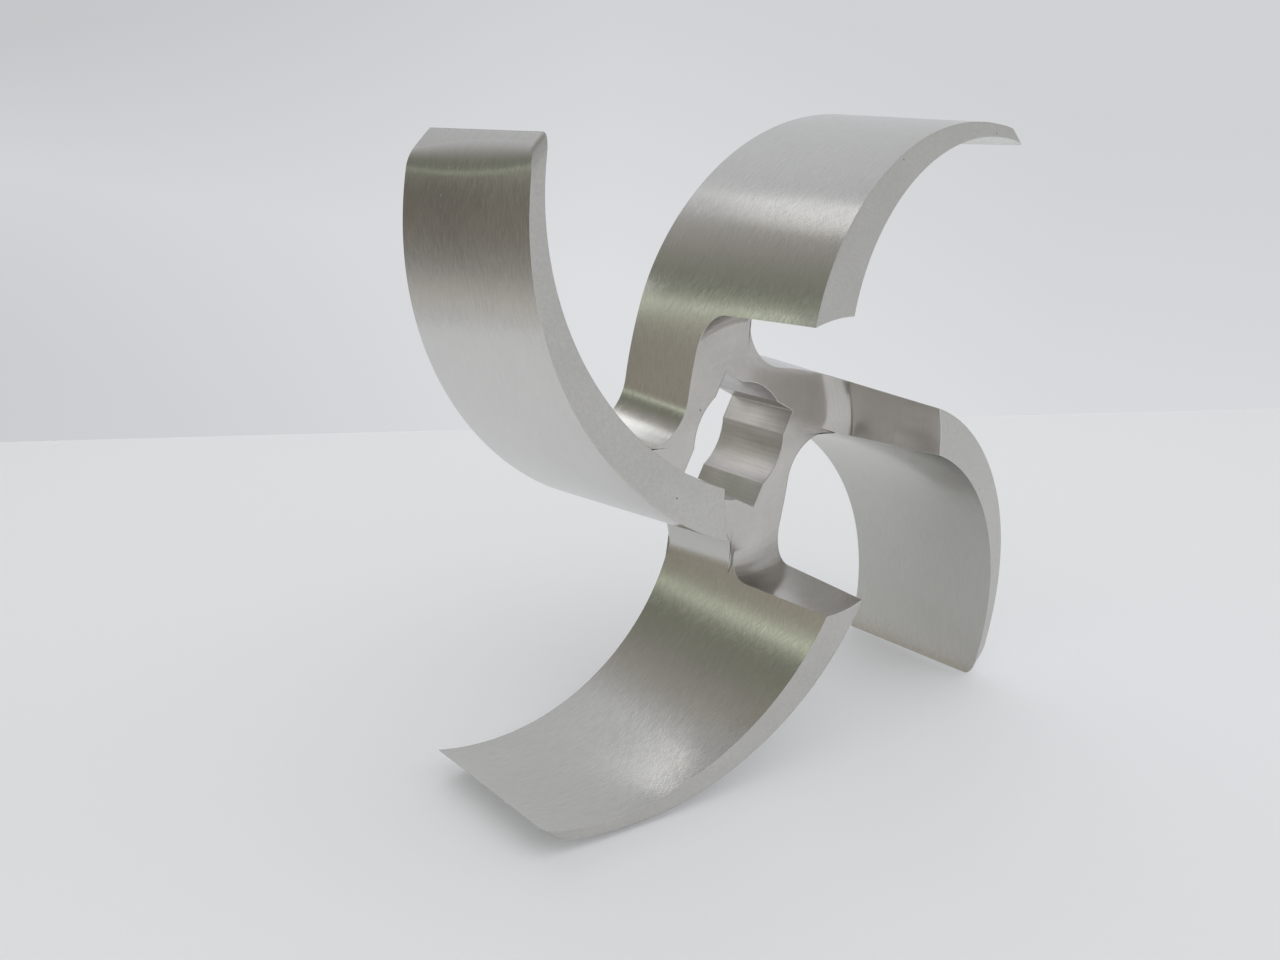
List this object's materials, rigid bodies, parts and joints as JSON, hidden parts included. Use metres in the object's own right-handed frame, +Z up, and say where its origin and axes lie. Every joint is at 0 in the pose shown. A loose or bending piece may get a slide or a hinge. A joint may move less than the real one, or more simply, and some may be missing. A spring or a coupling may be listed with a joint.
{
  "type": "pump impeller",
  "caption": "Open centrifugal pump impeller with backward-swept tapered vanes, a recessed hub web and a square bore with round relief.",
  "frame": {"origin": "on the shaft axis, midway along the impeller's width", "axes": "+Y along the shaft axis, from the suction side to the hub's back face; +Z up as the impeller stands on edge on two vanes; +X to the right, seen from the suction side"},
  "size_m": [0.114, 0.0424, 0.114],
  "materials": {
    "stainless_steel": "satin, brushed along the flanks, turned in the eye"
  },
  "bodies": {
    "root": {"impeller": "stainless_steel"}
  },
  "joints": []
}
